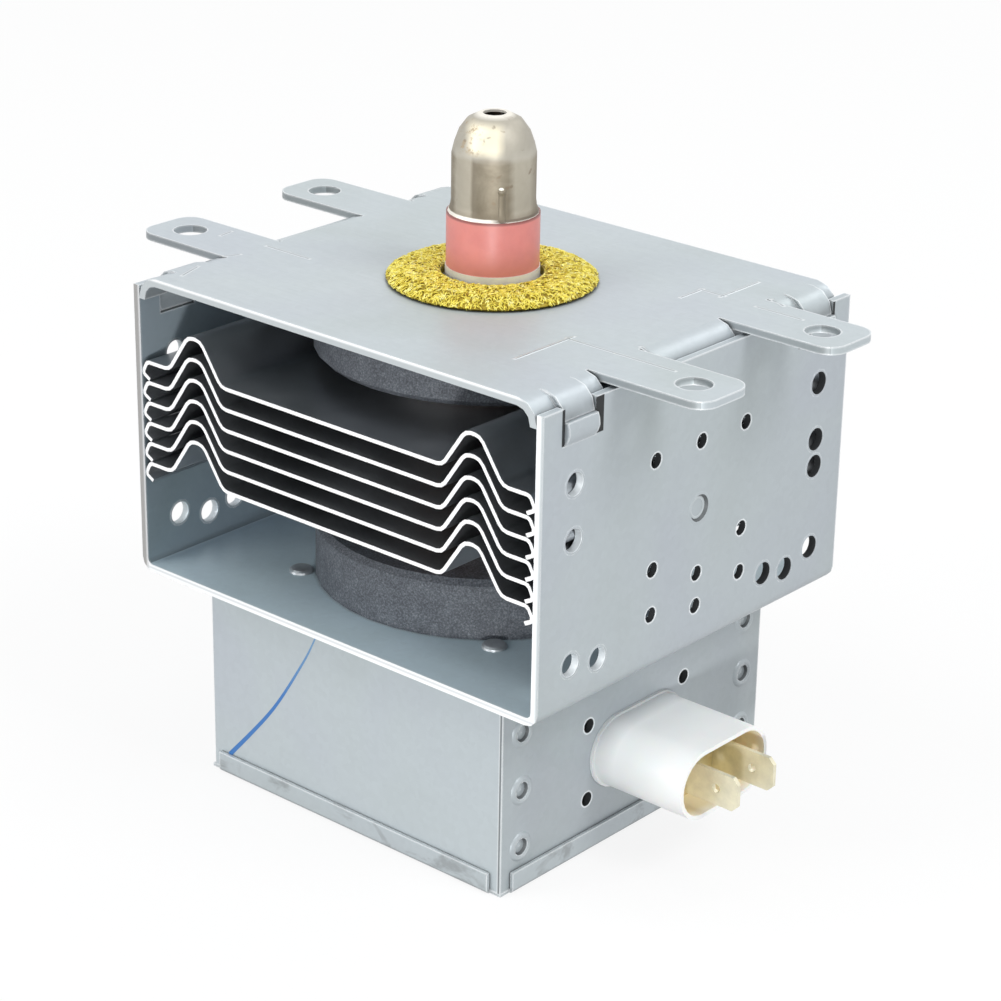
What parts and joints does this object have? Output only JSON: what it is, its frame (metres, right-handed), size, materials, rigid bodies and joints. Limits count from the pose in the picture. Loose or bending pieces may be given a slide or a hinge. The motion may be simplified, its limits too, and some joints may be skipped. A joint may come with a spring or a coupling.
{
  "type": "microwave oven magnetron",
  "caption": "Magnetron with a folded sheet yoke, ring magnets, wavy cooling fins, a capped ceramic antenna and a filter box with a two-tab connector.",
  "frame": {"origin": "centre of the four mounting-lug holes on the top face of the yoke plate, on the axis of the antenna", "axes": "+Z along the antenna, away from the yoke; +X towards the high-voltage connector; the yoke is open along Y"},
  "size_m": [0.1304, 0.0826, 0.1246],
  "materials": {
    "galvanized_steel": "passivated, satin",
    "aluminium_sheet": "mill",
    "knitted_brass": "knitted wire",
    "nickel_plated_steel": "nickel plated, stained",
    "bright_steel": "bright",
    "soft_iron": "matt",
    "pink_alumina": "glazed pink",
    "white_alumina": "matt",
    "ferrite": "ground, speckled",
    "copper": "bright",
    "enamelled_copper": "enamelled",
    "tungsten": "matt",
    "white_plastic": "moulded",
    "tan_epoxy": "cast",
    "tinned_brass": "tin plated"
  },
  "bodies": {
    "root": {"anode_cylinder": "copper", "anode_vane_01": "copper", "anode_vane_02": "copper", "anode_vane_03": "copper", "anode_vane_04": "copper", "anode_vane_05": "copper", "anode_vane_06": "copper", "anode_vane_07": "copper", "anode_vane_08": "copper", "anode_vane_09": "copper", "anode_vane_10": "copper", "antenna_cap": "nickel_plated_steel", "antenna_insulator": "pink_alumina", "antenna_lead": "copper", "antenna_seal_cup": "nickel_plated_steel", "box_rivets": "bright_steel", "capacitor_ceramic": "white_alumina", "capacitor_epoxy": "tan_epoxy", "capacitor_inner_shell": "white_plastic", "capacitor_plate": "galvanized_steel", "capacitor_shell": "white_plastic", "cathode_filament": "tungsten", "centre_support_rod": "tungsten", "choke_coil_1": "enamelled_copper", "choke_coil_2": "enamelled_copper", "choke_core_1": "ferrite", "choke_core_2": "ferrite", "cooling_fin_1": "aluminium_sheet", "cooling_fin_2": "aluminium_sheet", "cooling_fin_3": "aluminium_sheet", "cooling_fin_4": "aluminium_sheet", "cooling_fin_5": "aluminium_sheet", "cooling_fin_6": "aluminium_sheet", "exhaust_tube": "copper", "filament_terminal_1": "nickel_plated_steel", "filament_terminal_2": "nickel_plated_steel", "filter_box": "galvanized_steel", "filter_lid": "galvanized_steel", "filter_side_panel": "galvanized_steel", "lower_end_hat": "tungsten", "lower_magnet": "ferrite", "lower_pole_piece": "soft_iron", "lower_sleeve": "nickel_plated_steel", "rf_gasket": "knitted_brass", "side_support_rod": "tungsten", "stem_insulator": "white_alumina", "strap_ring_lower_inner": "copper", "strap_ring_lower_outer": "copper", "strap_ring_upper_inner": "copper", "strap_ring_upper_outer": "copper", "terminal_tab_back": "tinned_brass", "terminal_tab_front": "tinned_brass", "upper_end_hat": "tungsten", "upper_magnet": "ferrite", "upper_pole_piece": "soft_iron", "upper_sleeve": "nickel_plated_steel", "yoke_bracket": "galvanized_steel", "yoke_plate": "galvanized_steel"}
  },
  "joints": []
}
